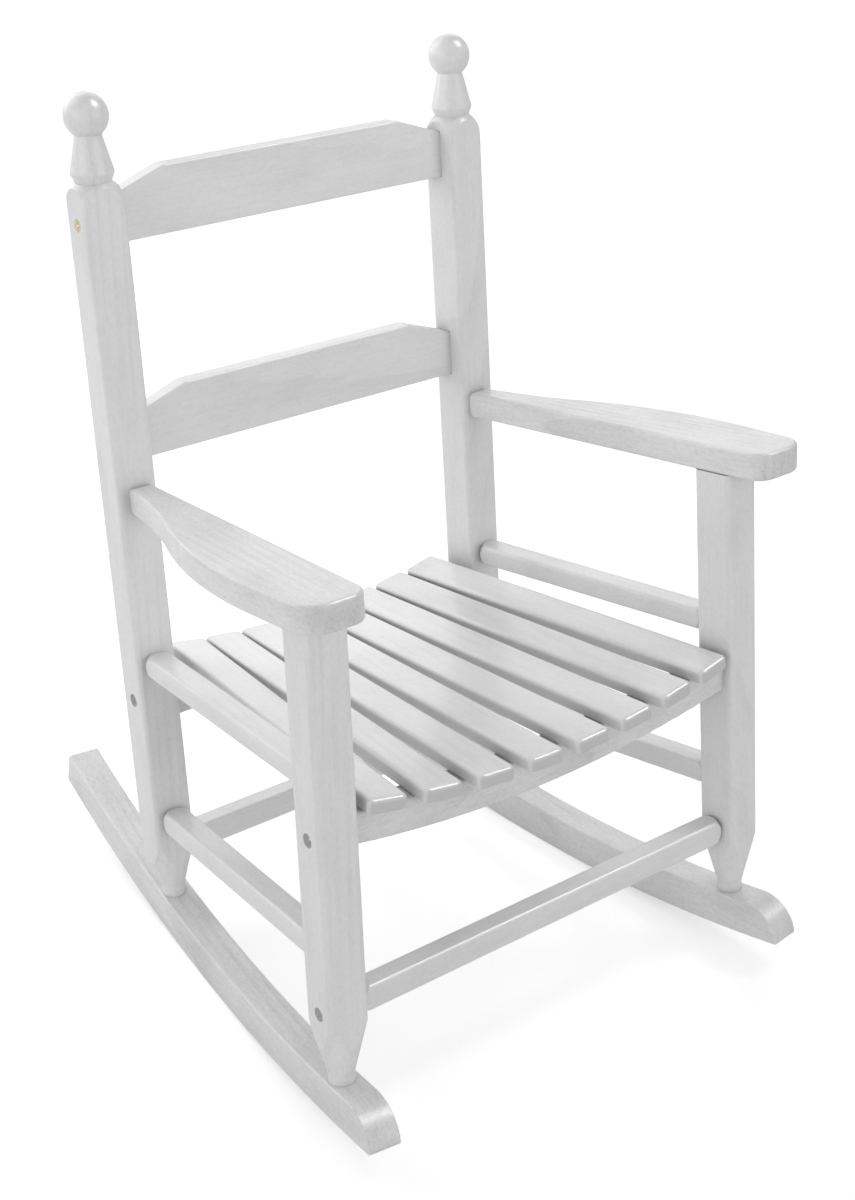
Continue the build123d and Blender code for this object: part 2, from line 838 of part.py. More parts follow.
def set_down(nodes):
    """The chair rocked until its centre of mass is under the rocking centre, then centred."""
    rocking_centre = Vector(0, rocker_centre_y, rocker_radius)
    hang = mass_centre(nodes) - rocking_centre
    lean = math.degrees(math.atan2(hang.Y, -hang.Z))
    rocking_axis = Axis(rocking_centre, (1, 0, 0))
    rocked = {name: shape.rotate(rocking_axis, -lean) for name, shape in nodes.items()}
    box = Compound([*rocked.values()]).bounding_box()
    to_origin = Pos(0, -box.center().Y, -box.min.Z)
    return {name: to_origin * shape for name, shape in rocked.items()}


os.makedirs("parts", exist_ok=True)
for node, shape in set_down(chair()).items():
    export_step(shape, f"parts/{node}.step")
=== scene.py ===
"""Looks of the painted porch rocking chair: paint, arm ends, screws, studio light and camera.

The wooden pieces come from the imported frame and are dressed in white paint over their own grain.
Both arms are carried on until they butt against their rear posts. The screws are modelled here in
full, with cross recesses and threads.
"""

from __future__ import annotations

import json
import logging
import math
from collections.abc import Sequence
from dataclasses import dataclass
from enum import Enum

import bmesh
import bpy
import numpy as np
from mathutils import Matrix, Vector
from mathutils.bvhtree import BVHTree

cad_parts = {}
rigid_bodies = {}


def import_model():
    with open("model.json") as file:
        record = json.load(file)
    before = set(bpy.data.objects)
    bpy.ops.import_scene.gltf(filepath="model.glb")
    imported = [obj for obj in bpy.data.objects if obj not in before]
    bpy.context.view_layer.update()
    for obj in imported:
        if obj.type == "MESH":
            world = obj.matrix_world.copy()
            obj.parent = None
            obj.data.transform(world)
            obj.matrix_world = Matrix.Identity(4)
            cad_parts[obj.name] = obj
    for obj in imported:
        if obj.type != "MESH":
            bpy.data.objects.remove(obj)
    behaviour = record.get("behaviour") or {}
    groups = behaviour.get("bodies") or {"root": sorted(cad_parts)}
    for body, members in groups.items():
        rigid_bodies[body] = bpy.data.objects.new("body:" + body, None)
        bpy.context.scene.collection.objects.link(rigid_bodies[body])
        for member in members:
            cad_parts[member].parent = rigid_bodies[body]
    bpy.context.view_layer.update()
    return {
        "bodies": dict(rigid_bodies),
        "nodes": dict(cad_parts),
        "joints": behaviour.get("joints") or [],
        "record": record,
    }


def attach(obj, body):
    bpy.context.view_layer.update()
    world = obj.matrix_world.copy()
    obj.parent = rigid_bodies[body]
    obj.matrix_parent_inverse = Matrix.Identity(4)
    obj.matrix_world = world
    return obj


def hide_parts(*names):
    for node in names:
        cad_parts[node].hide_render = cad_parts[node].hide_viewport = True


Point = tuple[float, float, float]
Colour = tuple[float, float, float]
Range = tuple[float, float]
Socket = bpy.types.NodeSocket
Nodes = dict[str, bpy.types.Object]

BODY = "root"
WELD_DISTANCE = 1e-6
CUT_DISTANCE = 1e-7
FULL_RANGE = (0.0, 1.0)
MIX_FACTOR, MIX_LOW, MIX_HIGH, MIX_COLOUR = 0, 6, 7, 2
LOG = logging.getLogger("rocking_chair")


class Slot(Enum):
    """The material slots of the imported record."""

    WOOD = "painted_wood"
    BRASS = "brass_screws"
    ZINC = "zinc_fasteners"


class Side(Enum):
    """The two sides of the chair."""

    LEFT = "left"
    RIGHT = "right"


class Graph:
    """Builds the node tree of one material."""

    def __init__(self, name: str) -> None:
        """Start an empty material.

        Args:
            name: Name of the material.
        """
        self.material = bpy.data.materials.new(name)
        self.material.use_nodes = True
        self.tree = self.material.node_tree
        self.tree.nodes.clear()

    def node(self, kind: str, **settings: object) -> bpy.types.Node:
        """Add a node.

        Args:
            kind: Blender's type name of the node.
            **settings: Properties of the node.

        Returns:
            The new node.
        """
        made = self.tree.nodes.new(kind)
        for key, value in settings.items():
            setattr(made, key, value)
        return made

    def link(self, source: Socket, target: Socket) -> None:
        """Join an output to an input."""
        self.tree.links.new(source, target)

    def stretched(self, vector: Socket, scale: Point, offset: Point) -> Socket:
        """Scale and shift coordinates.

        Args:
            vector: Coordinates to change.
            scale: Factors along the three axes.
            offset: Shift after scaling.

        Returns:
            The changed coordinates.
        """
        mapping = self.node("ShaderNodeMapping", vector_type="POINT")
        mapping.inputs["Scale"].default_value = scale
        mapping.inputs["Location"].default_value = offset
        self.link(vector, mapping.inputs["Vector"])
        return mapping.outputs["Vector"]

    def noise(self, vector: Socket, octaves: float, grit: float) -> Socket:
        """Noise of unit scale on some coordinates.

        Args:
            vector: Coordinates already scaled to the pattern.
            octaves: Number of finer and finer patterns.
            grit: Strength of the finer patterns.

        Returns:
            The noise value from 0 to 1.
        """
        noise = self.node("ShaderNodeTexNoise")
        noise.inputs["Scale"].default_value = 1.0
        noise.inputs["Detail"].default_value = octaves
        noise.inputs["Roughness"].default_value = grit
        self.link(vector, noise.inputs["Vector"])
        return noise.outputs["Fac"]

    def remap(self, value: Socket, source: Range, target: Range) -> Socket:
        """Map a value smoothly from one range to another.

        Args:
            value: Value to map.
            source: Range that is read.
            target: Range that comes out.

        Returns:
            The mapped value.
        """
        spread = self.node("ShaderNodeMapRange", interpolation_type="SMOOTHSTEP")
        spread.inputs["From Min"].default_value = source[0]
        spread.inputs["From Max"].default_value = source[1]
        spread.inputs["To Min"].default_value = target[0]
        spread.inputs["To Max"].default_value = target[1]
        self.link(value, spread.inputs["Value"])
        return spread.outputs["Result"]

    def math(self, operation: str, first: Socket, second: Socket | float = 0.0) -> Socket:
        """Change a value, or join two, with a sum, product or other operation.

        Args:
            operation: Blender's name of the operation.
            first: Left value.
            second: Right value, a socket or a number.

        Returns:
            The result.
        """
        made = self.node("ShaderNodeMath", operation=operation)
        self.link(first, made.inputs[0])
        if isinstance(second, Socket):
            self.link(second, made.inputs[1])
        else:
            made.inputs[1].default_value = second
        return made.outputs["Value"]

    def total(self, values: Sequence[Socket]) -> Socket:
        """Add up several values.

        Args:
            values: The values.

        Returns:
            Their sum.
        """
        result = values[0]
        for value in values[1:]:
            result = self.math("ADD", result, value)
        return result

    def tint(self, factor: Socket, low: Socket | Colour, high: Colour) -> Socket:
        """Blend two colours.

        Args:
            factor: 0 for the first colour and 1 for the second.
            low: First colour, a socket or a plain colour.
            high: Second colour.

        Returns:
            The blended colour.
        """
        mix = self.node("ShaderNodeMix", data_type="RGBA")
        if isinstance(low, Socket):
            self.link(low, mix.inputs[MIX_LOW])
        else:
            mix.inputs[MIX_LOW].default_value = (*low, 1.0)
        mix.inputs[MIX_HIGH].default_value = (*high, 1.0)
        self.link(factor, mix.inputs[MIX_FACTOR])
        return mix.outputs[MIX_COLOUR]

    def bump(self, height: Socket, strength: float, distance: float) -> Socket:
        """Turn a height pattern into normals.

        Args:
            height: Pattern from 0 to 1.
            strength: How much of the effect is kept.
            distance: Height of the pattern in metres.

        Returns:
            The normals.
        """
        made = self.node("ShaderNodeBump")
        made.inputs["Strength"].default_value = strength
        made.inputs["Distance"].default_value = distance
        self.link(height, made.inputs["Height"])
        return made.outputs["Normal"]

    def shader(self, constants: dict[str, float]) -> bpy.types.Node:
        """Add the surface shader and join it to the output.

        Args:
            constants: Socket names with the numbers that hold all over the surface.

        Returns:
            The shader node.
        """
        shader = self.node("ShaderNodeBsdfPrincipled")
        for name, value in constants.items():
            shader.inputs[name].default_value = value
        output = self.node("ShaderNodeOutputMaterial")
        self.link(shader.outputs["BSDF"], output.inputs["Surface"])
        return shader


@dataclass(frozen=True)
class Layer:
    """One noise pattern of a finish, with its sizes across and along the grain in metres."""

    across: float
    along: float
    octaves: float
    grit: float
    shift: Point
    shown: Range = FULL_RANGE
    depth: float = 1.0

    def pattern(self, graph: Graph, place: Socket, seed: float = 1.0) -> Socket:
        """Lay the pattern on a surface.

        Args:
            graph: The finish's node tree.
            place: Coordinates with Z along the grain.
            seed: How far the pattern moves along its shift.

        Returns:
            The noise value from 0 to 1.
        """
        scale = (1 / self.across, 1 / self.across, 1 / self.along)
        offset = tuple(seed * part for part in self.shift)
        return graph.noise(graph.stretched(place, scale, offset), self.octaves, self.grit)

    def tone(self, graph: Graph, pattern: Socket) -> Socket:
        """Turn the pattern into a darkening.

        Args:
            graph: The finish's node tree.
            pattern: The noise value.

        Returns:
            The darkening, from 0 to the layer's depth.
        """
        return graph.remap(pattern, self.shown, (0.0, self.depth))


@dataclass(frozen=True)
class RingFigure:
    """Growth rings cut lengthways, faint under the paint and patchy."""

    spacing: float = 0.0065
    stretch: float = 14.0
    scale: float = 0.32
    distortion: float = 5.0
    detail: float = 3.0
    detail_scale: float = 0.5
    off_centre: float = 4.0
    shown: Range = (0.35, 1.0)
    depth: float = 0.34
    patches: Layer = Layer(
        across=0.05, along=0.11, octaves=2.0, grit=0.5, shift=(1.0, 0.0, 0.0), shown=(0.42, 0.62)
    )

    def tone(self, graph: Graph, board: Socket, seed: float) -> Socket:
        """Lay the rings on a board.

        Args:
            graph: The paint's node tree.
            board: Coordinates along the board.
            seed: Shift of the pattern.

        Returns:
            The darkening of the rings.
        """
        rings = graph.node(
            "ShaderNodeTexWave", wave_type="RINGS", rings_direction="Y", wave_profile="SAW"
        )
        rings.inputs["Scale"].default_value = self.scale
        rings.inputs["Distortion"].default_value = self.distortion
        rings.inputs["Detail"].default_value = self.detail
        rings.inputs["Detail Scale"].default_value = self.detail_scale
        across = 1 / self.spacing
        stretch = (across, across, across / self.stretch)
        place = graph.stretched(board, stretch, (seed, self.off_centre, seed))
        graph.link(place, rings.inputs["Vector"])
        patches = self.patches.tone(graph, self.patches.pattern(graph, board, seed))
        tone = graph.remap(rings.outputs["Fac"], self.shown, (0.0, self.depth))
        return graph.math("MULTIPLY", tone, patches)


@dataclass(frozen=True)
class BoardCare:
    """How one kind of board took its paint, and how deep the painted shade in its gaps and joints is."""

    thinness: float = 0.5
    # Painted shade: how far the colour darkens in narrow gaps and joints, standing in for the shade that
    # falls there.
    painted_shade_depth: float = 0.45
    end_grain_tone: float = 0.35
    coat: float = 0.25


@dataclass(frozen=True)
class PaintedWood:
    """Semi-gloss white paint that lets the grain of the board show through, with painted shade in narrow
    gaps and round joints.
    """

    light: Colour = (0.86, 0.86, 0.86)
    dark: Colour = (0.62, 0.62, 0.62)
    # Painted shade: the colour that narrow gaps and joints darken towards, and the reach, samples and
    # range of the ambient occlusion that drives it.
    painted_shade_colour: Colour = (0.46, 0.46, 0.46)
    painted_shade_reach: float = 0.022
    painted_shade_samples: int = 8
    painted_shade_openness: Range = (0.25, 0.92)
    end_grain_facing: Range = (0.45, 1.0)
    streaks: Layer = Layer(
        across=0.0016,
        along=0.045,
        octaves=4.0,
        grit=0.6,
        shift=(1.0, 1.0, 1.0),
        shown=(0.40, 0.74),
        depth=0.22,
    )
    pores: Layer = Layer(
        across=0.0007,
        along=0.010,
        octaves=2.0,
        grit=0.5,
        shift=(1.0, 0.0, 1.0),
        shown=(0.62, 0.80),
        depth=0.26,
    )
    clouds: Layer = Layer(
        across=0.022,
        along=0.055,
        octaves=3.0,
        grit=0.55,
        shift=(0.0, 1.0, 1.0),
        shown=(0.38, 0.72),
        depth=0.30,
    )
    mottle: Layer = Layer(
        across=0.0018,
        along=0.0036,
        octaves=3.0,
        grit=0.65,
        shift=(1.0, 1.0, 0.0),
        shown=(0.40, 0.72),
        depth=0.34,
    )
    peel: Layer = Layer(across=0.0014, along=0.0014, octaves=2.0, grit=0.5, shift=(1.0, 1.0, 0.0))
    figure: RingFigure = RingFigure()
    gloss_pattern: Range = (0.3, 0.9)
    roughness: Range = (0.32, 0.44)
    coat_roughness: float = 0.15
    index: float = 1.5
    streak_height: float = 0.5
    peel_height: float = 0.18
    relief_strength: float = 0.35
    relief_depth: float = 0.00022

    def material(self, name: str, grain: Matrix, seed: float, care: BoardCare) -> bpy.types.Material:
        """Make the paint for one board.

        Args:
            name: Name of the material.
            grain: Rotation that takes Z to the grain direction of the board.
            seed: Shift of the patterns, so that no two boards look the same.
            care: How this kind of board took the paint.

        Returns:
            The material.
        """
        graph = Graph(name)
        place = graph.node("ShaderNodeTexCoord").outputs["Object"]
        board = self._along_board(graph, place, grain)
        streaks = self.streaks.pattern(graph, board, seed)
        clouds = self.clouds.pattern(graph, board, seed)
        mottle = self.mottle.pattern(graph, board, seed)
        pores = self.pores.tone(graph, self.pores.pattern(graph, board, seed))
        layers = (
            self.streaks.tone(graph, streaks),
            pores,
            self.clouds.tone(graph, clouds),
            self.mottle.tone(graph, mottle),
            self.figure.tone(graph, board, seed),
        )
        worn = graph.math("MULTIPLY", graph.total(layers), care.thinness)
        tone = graph.math("ADD", worn, self._end_grain(graph, grain, care.end_grain_tone))
        painted = graph.tint(tone, self.light, self.dark)
        # Painted shade: the paint darkens towards the shade colour where ambient occlusion finds the
        # surface hemmed in.
        colour = graph.tint(self._painted_shade(graph, care.painted_shade_depth), painted, self.painted_shade_colour)
        gloss = graph.remap(graph.math("ADD", clouds, pores), self.gloss_pattern, self.roughness)
        relief = self._relief(graph, streaks, pores, self.peel.pattern(graph, place, seed))

        shader = graph.shader(
            {"Coat Weight": care.coat, "Coat Roughness": self.coat_roughness, "IOR": self.index}
        )
        graph.link(colour, shader.inputs["Base Color"])
        graph.link(gloss, shader.inputs["Roughness"])
        graph.link(relief, shader.inputs["Normal"])
        return graph.material

    def _along_board(self, graph: Graph, place: Socket, grain: Matrix) -> Socket:
        """Turn coordinates so that Z runs along the grain.

        Args:
            graph: The paint's node tree.
            place: Coordinates of the object.
            grain: Rotation that takes Z to the grain direction of the board.

        Returns:
            Coordinates along the board.
        """
        along = graph.node("ShaderNodeMapping", vector_type="TEXTURE")
        along.inputs["Rotation"].default_value = grain.to_euler()
        graph.link(place, along.inputs["Vector"])
        return along.outputs["Vector"]

    def _end_grain(self, graph: Graph, grain: Matrix, depth: float) -> Socket:
        """Darker paint where the ends of the board have drunk it up.

        Args:
            graph: The paint's node tree.
            grain: Rotation that takes Z to the grain direction of the board.
            depth: How dark the ends get.

        Returns:
            The darkening of the ends.
        """
        facing = graph.node("ShaderNodeVectorMath", operation="DOT_PRODUCT")
        facing.inputs[1].default_value = grain.col[2]
        graph.link(graph.node("ShaderNodeTexCoord").outputs["Normal"], facing.inputs[0])
        square = graph.math("ABSOLUTE", facing.outputs["Value"])
        return graph.remap(square, self.end_grain_facing, (0.0, depth))

    def _painted_shade(self, graph: Graph, depth: float) -> Socket:
        """Painted shade in narrow gaps and round joints: the colour darkens where ambient occlusion
        finds the surface hemmed in.

        Args:
            graph: The paint's node tree.
            depth: How dark the tightest places get.

        Returns:
            The painted shade of the gaps.
        """
        shade_occlusion = graph.node("ShaderNodeAmbientOcclusion", samples=self.painted_shade_samples)
        shade_occlusion.inputs["Distance"].default_value = self.painted_shade_reach
        return graph.remap(shade_occlusion.outputs["AO"], self.painted_shade_openness, (depth, 0.0))

    def _relief(self, graph: Graph, streaks: Socket, pores: Socket, peel: Socket) -> Socket:
        """Raise the grain, sink the pores and ripple the skin of the paint.

        Args:
            graph: The paint's node tree.
            streaks: Pattern of the grain.
            pores: Darkening of the pores.
            peel: Pattern of the paint's skin.

        Returns:
            The normals.
        """
        wood = graph.math("SUBTRACT", graph.math("MULTIPLY", streaks, self.streak_height), pores)
        height = graph.math("ADD", wood, graph.math("MULTIPLY", peel, self.peel_height))
        return graph.bump(height, self.relief_strength, self.relief_depth)


@dataclass(frozen=True)
class ScrewMetal:
    """Plated screw metal with turning marks and tarnish."""

    name: str
    bright: Colour
    dull: Colour
    roughness: float
    smoother: float = 0.08
    rougher: float = 0.12
    gloss_pattern: Range = (0.3, 0.7)
    marks: Layer = Layer(across=0.0004, along=0.0004, octaves=3.0, grit=0.6, shift=(0.0, 0.0, 0.0))
    mark_strength: float = 0.3
    mark_depth: float = 0.00003
    tarnish: Layer = Layer(
        across=0.002, along=0.002, octaves=3.0, grit=0.6, shift=(3.0, 1.0, 2.0), shown=(0.4, 0.7)
    )

    def material(self) -> bpy.types.Material:
        """Make the metal.

        Returns:
            The material.
        """
        graph = Graph(self.name)
        place = graph.node("ShaderNodeTexCoord").outputs["Object"]
        marks = self.marks.pattern(graph, place)
        spots = self.tarnish.pattern(graph, place)
        colour = graph.tint(self.tarnish.tone(graph, spots), self.bright, self.dull)
        roughness = (self.roughness - self.smoother, self.roughness + self.rougher)
        shader = graph.shader({"Metallic": 1.0})
        graph.link(colour, shader.inputs["Base Color"])
        graph.link(graph.remap(spots, self.gloss_pattern, roughness), shader.inputs["Roughness"])
        graph.link(graph.bump(marks, self.mark_strength, self.mark_depth), shader.inputs["Normal"])
        return graph.material


@dataclass(frozen=True)
class ScrewSeat:
    """Where a packed screw sits and how large it is."""

    frame: Matrix
    length: float
    head_radius: float

    @classmethod
    def read(cls, corners: np.ndarray) -> ScrewSeat:
        """Read the seat of a screw from the corners of its solid.

        Args:
            corners: One corner a row.

        Returns:
            The seat, with the frame's origin in the flat of the head and Z out of it.
        """
        middle = corners.mean(axis=0)
        axis = np.linalg.eigh(np.cov((corners - middle).T))[1][:, -1]
        along = (corners - middle) @ axis
        away = np.linalg.norm(corners - middle - np.outer(along, axis), axis=1)
        if along[np.argmax(away)] < 0:
            axis, along = -axis, -along
        faces = Vector(axis).to_track_quat("Z", "Y").to_matrix().to_4x4()
        head = Matrix.Translation(Vector(middle + axis * along.max()))
        return cls(head @ faces, float(along.max() - along.min()), float(away.max()))


def solid_corners(node: bpy.types.Object) -> list[np.ndarray]:
    """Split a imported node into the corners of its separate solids.

    Args:
        node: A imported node.

    Returns:
        The corners of each solid, one corner a row.
    """
    welded = bmesh.new()
    welded.from_mesh(node.data)
    bmesh.ops.remove_doubles(welded, verts=welded.verts, dist=WELD_DISTANCE)
    waiting = dict.fromkeys(welded.verts)
    solids = []
    while waiting:
        reached = [waiting.popitem()[0]]
        for vertex in reached:
            others = (edge.other_vert(vertex) for edge in vertex.link_edges)
            beyond = [other for other in others if other in waiting]
            for other in beyond:
                del waiting[other]
            reached.extend(beyond)
        solids.append(np.array([vertex.co for vertex in reached]))
    welded.free()
    return solids


@dataclass(frozen=True)
class WoodScrew:
    """Countersunk wood screw with a cross recess and a rolled thread."""

    length: float
    head_radius: float
    shank_radius: float = 0.0016
    point_length: float = 0.005
    point_share: float = 0.08
    recess_reach: float = 0.0023
    recess_half_width: float = 0.00045
    recess_depth: float = 0.0014
    recess_floor_share: float = 0.45
    thread_radius: float = 0.002
    thread_root_share: float = 0.9
    thread_pitch: float = 0.0018
    thread_half_share: float = 0.2
    thread_share: float = 0.6
    steps_a_turn: int = 16
    segments: int = 32

    def add_to(self, target: bmesh.types.BMesh, frame: Matrix, turn: float) -> None:
        """Add one screw to a mesh.

        Args:
            target: Mesh that gets the screw.
            frame: Place of the head, with Z out of it.
            turn: Angle of the recess in radians.
        """
        single = bmesh.new()
        self._head(single)
        self._shank(single)
        self._thread(single)
        bmesh.ops.transform(single, matrix=frame @ Matrix.Rotation(turn, 4, "Z"), verts=single.verts)
        bmesh.ops.recalc_face_normals(single, faces=single.faces)
        mesh = bpy.data.meshes.new("screw")
        single.to_mesh(mesh)
        single.free()
        target.from_mesh(mesh)
        bpy.data.meshes.remove(mesh)

    def _head(self, single: bmesh.types.BMesh) -> None:
        """Make the flat of the head and sink the cross recess into it.

        Args:
            single: Mesh of the screw.
        """
        bmesh.ops.create_circle(single, cap_ends=True, segments=self.segments, radius=self.head_radius)
        edges = (self.recess_half_width, self.recess_reach, -self.recess_half_width, -self.recess_reach)
        for normal in (Vector((1.0, 0.0, 0.0)), Vector((0.0, 1.0, 0.0))):
            for edge in edges:
                bmesh.ops.bisect_plane(
                    single,
                    geom=[*single.verts, *single.edges, *single.faces],
                    dist=CUT_DISTANCE,
                    plane_co=normal * edge,
                    plane_no=normal,
                )
        cross = [face for face in single.faces if self._in_cross(face.calc_center_median())]
        sunk = bmesh.ops.extrude_face_region(single, geom=cross)
        floor = [item for item in sunk["geom"] if isinstance(item, bmesh.types.BMVert)]
        bmesh.ops.delete(single, geom=cross, context="FACES_ONLY")
        bmesh.ops.scale(single, vec=(self.recess_floor_share, self.recess_floor_share, 1.0), verts=floor)
        bmesh.ops.translate(single, vec=(0.0, 0.0, -self.recess_depth), verts=floor)

    def _in_cross(self, middle: Vector) -> bool:
        """Tell whether a face of the head's flat lies in the cross."""
        near, far = sorted((abs(middle.x), abs(middle.y)))
        return near < self.recess_half_width and far < self.recess_reach

    def _shank(self, single: bmesh.types.BMesh) -> None:
        """Draw the rim of the head down to the cone, the shank and the point.

        Args:
            single: Mesh of the screw.
        """
        rim = [edge for edge in single.edges if edge.is_boundary]
        cone = self.head_radius - self.shank_radius
        steps = (
            (self.shank_radius / self.head_radius, cone),
            (1.0, self.length - cone - self.point_length),
            (self.point_share, self.point_length),
        )
        for share, fall in steps:
            grown = bmesh.ops.extrude_edge_only(single, edges=rim)
            verts = [item for item in grown["geom"] if isinstance(item, bmesh.types.BMVert)]
            rim = [item for item in grown["geom"] if isinstance(item, bmesh.types.BMEdge)]
            bmesh.ops.scale(single, vec=(share, share, 1.0), verts=verts)
            bmesh.ops.translate(single, vec=(0.0, 0.0, -fall), verts=verts)
        bmesh.ops.contextual_create(single, geom=rim)

    def _thread(self, single: bmesh.types.BMesh) -> None:
        """Wind the thread's ridge round the lower part of the shank.

        Args:
            single: Mesh of the screw.
        """
        turns = self.thread_share * (self.length - self.point_length) / self.thread_pitch
        low = -self.length + self.point_length
        root = self.shank_radius * self.thread_root_share
        half = self.thread_pitch * self.thread_half_share
        corners = (
            (root, 0.0, low),
            (self.thread_radius, 0.0, low + half),
            (root, 0.0, low + 2 * half),
        )
        ridge = single.faces.new([single.verts.new(corner) for corner in corners])
        bmesh.ops.spin(
            single,
            geom=[ridge],
            cent=(0.0, 0.0, 0.0),
            axis=(0.0, 0.0, 1.0),
            dvec=(0.0, 0.0, self.thread_pitch / self.steps_a_turn),
            angle=turns * math.tau,
            steps=int(turns * self.steps_a_turn),
            use_duplicate=False,
        )


@dataclass(frozen=True)
class ScrewSet:
    """The screws of one node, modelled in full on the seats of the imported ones."""

    name: str
    node: str
    slot: Slot
    metal: ScrewMetal
    first_turn: float = 0.35
    turn_step: float = 0.9

    def build(self, nodes: Nodes) -> bpy.types.Object:
        """Make the screws and let them stand for their node.

        Args:
            nodes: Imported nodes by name.

        Returns:
            The new piece.
        """
        maker = bmesh.new()
        for number, corners in enumerate(solid_corners(nodes[self.node])):
            seat = ScrewSeat.read(corners)
            screw = WoodScrew(length=seat.length, head_radius=seat.head_radius)
            screw.add_to(maker, seat.frame, self.first_turn + self.turn_step * number)
        mesh = bpy.data.meshes.new(self.name)
        maker.to_mesh(mesh)
        maker.free()
        piece = bpy.data.objects.new(self.name, mesh)
        bpy.context.scene.collection.objects.link(piece)
        mesh.materials.append(self.metal.material())
        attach(piece, BODY)
        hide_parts(self.node)
        return piece


@dataclass(frozen=True)
class Woodwork:
    """All wooden pieces of the chair, painted along their own grain."""

    paint: PaintedWood = PaintedWood()
    seed_step: float = 3.7
    fasteners: tuple[str, ...] = ("screws", "brads")
    usual_care: BoardCare = BoardCare()
    rubbed: tuple[str, ...] = ("arm", "seat_rail", "rocker")
    rubbed_care: BoardCare = BoardCare(thinness=1.0)
    glossy: tuple[str, ...] = ("seat_slat",)
    # The seat slats get the deepest painted shade in the gaps between them, as well as darker end grain
    # and a stronger coat.
    glossy_care: BoardCare = BoardCare(painted_shade_depth=0.95, end_grain_tone=0.95, coat=0.55)

    def boards(self, nodes: Nodes) -> list[bpy.types.Object]:
        """Pick the wooden nodes.

        Args:
            nodes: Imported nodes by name.

        Returns:
            The wooden pieces in order of name.
        """
        return [nodes[name] for name in sorted(nodes) if not name.endswith(self.fasteners)]

    def grain(self, board: bpy.types.Object) -> Matrix:
        """Find the length direction of a board.

        Args:
            board: A wooden piece.

        Returns:
            Rotation that takes Z to that direction.
        """
        points = np.array([vertex.co for vertex in board.data.vertices])
        spread = points - points.mean(axis=0)
        direction = np.linalg.eigh(spread.T @ spread)[1][:, -1]
        direction = direction * np.sign(direction[np.argmax(np.abs(direction))])
        return Vector(direction).to_track_quat("Z", "Y").to_matrix()

    def care(self, board: bpy.types.Object) -> BoardCare:
        """Tell how a board took its paint.

        Args:
            board: A wooden piece.

        Returns:
            The care for its kind.
        """
        if board.name.startswith(self.glossy):
            return self.glossy_care
        return self.rubbed_care if board.name.startswith(self.rubbed) else self.usual_care

    def dress(self, nodes: Nodes) -> list[bpy.types.Object]:
        """Paint every wooden piece.

        Args:
            nodes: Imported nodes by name.

        Returns:
            The painted pieces.
        """
        boards = self.boards(nodes)
        for number, board in enumerate(boards):
            name = f"white_paint_{board.name}"
            seed = self.seed_step * number
            board_paint = self.paint.material(name, self.grain(board), seed, self.care(board))
            for place in board.material_slots:
                place.material = board_paint
        return boards


@dataclass(frozen=True)
class ArmEnd:
    """Rear end of an arm, carried on until it butts against the face of its rear post.

    The rounded tip moves as a whole, and the stretch eases in over the length before it.
    """

    side: Side
    eased_length: float = 0.060
    rounded_length: float = 0.0055
    clearance: float = 0.00005
    end_tolerance: float = 0.00001
    facing_share: float = 0.9

    def build(self, nodes: Nodes) -> bpy.types.Object:
        """Make the whole arm and let it stand for its node.

        Args:
            nodes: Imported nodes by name, already painted.

        Returns:
            The arm.
        """
        packed = nodes[f"arm_{self.side.value}"]
        mesh = packed.data.copy()
        mesh.name = f"seated_arm_{self.side.value}"
        length_way = self._length_way(mesh)
        tip = max(vertex.co.dot(length_way) for vertex in mesh.vertices)
        nearly = tip - self.end_tolerance
        ends = [vertex.co for vertex in mesh.vertices if vertex.co.dot(length_way) > nearly]
        place, facing = self._post_face(nodes[f"rear_post_{self.side.value}"], ends, length_way)
        for vertex in mesh.vertices:
            along = vertex.co.dot(length_way)
            share = (along - tip + self.eased_length) / (self.eased_length - self.rounded_length)
            on_tip = vertex.co + length_way * (tip - along)
            reach = (place - on_tip).dot(facing) / length_way.dot(facing)
            vertex.co += length_way * reach * min(max(share, 0.0), 1.0)
        piece = bpy.data.objects.new(mesh.name, mesh)
        bpy.context.scene.collection.objects.link(piece)
        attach(piece, BODY)
        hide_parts(packed.name)
        return piece

    def _length_way(self, mesh: bpy.types.Mesh) -> Vector:
        """Find the direction that runs back along the arm's top.

        Args:
            mesh: The arm's mesh.

        Returns:
            The direction, square to X.
        """
        tops = (face for face in mesh.polygons if face.normal.z > self.facing_share)
        normal = max(tops, key=lambda face: face.area).normal
        return Vector((0.0, normal.z, -normal.y)).normalized()

    def _post_face(
        self, post: bpy.types.Object, ends: list[Vector], length_way: Vector
    ) -> tuple[Vector, Vector]:
        """Find the flat of the post that the arm's end meets.

        Args:
            post: The rear post.
            ends: Corners of the arm's end.
            length_way: Direction back along the arm.

        Returns:
            A point a hair off the flat, and the flat's normal.
        """
        maker = bmesh.new()
        maker.from_mesh(post.data)
        tree = BVHTree.FromBMesh(maker)
        maker.free()
        hits = (tree.ray_cast(end, length_way) for end in ends)
        met = (hit for hit in hits if hit[0] is not None)
        flats = [hit for hit in met if hit[1].dot(length_way) < -self.facing_share]
        place, facing = min(flats, key=lambda hit: hit[3])[:2]
        return place + facing * self.clearance, facing


def hang(name: str, light: bpy.types.Light, comes_from: Vector) -> bpy.types.Object:
    """Hang a lamp so that it shines down from a direction.

    Args:
        name: Name of the lamp.
        light: Its light.
        comes_from: Direction from what it lights to the lamp.

    Returns:
        The lamp, at the origin.
    """
    lamp = bpy.data.objects.new(name, light)
    lamp.rotation_mode = "QUATERNION"
    lamp.rotation_quaternion = comes_from.to_track_quat("Z", "Y")
    bpy.context.scene.collection.objects.link(lamp)
    return lamp


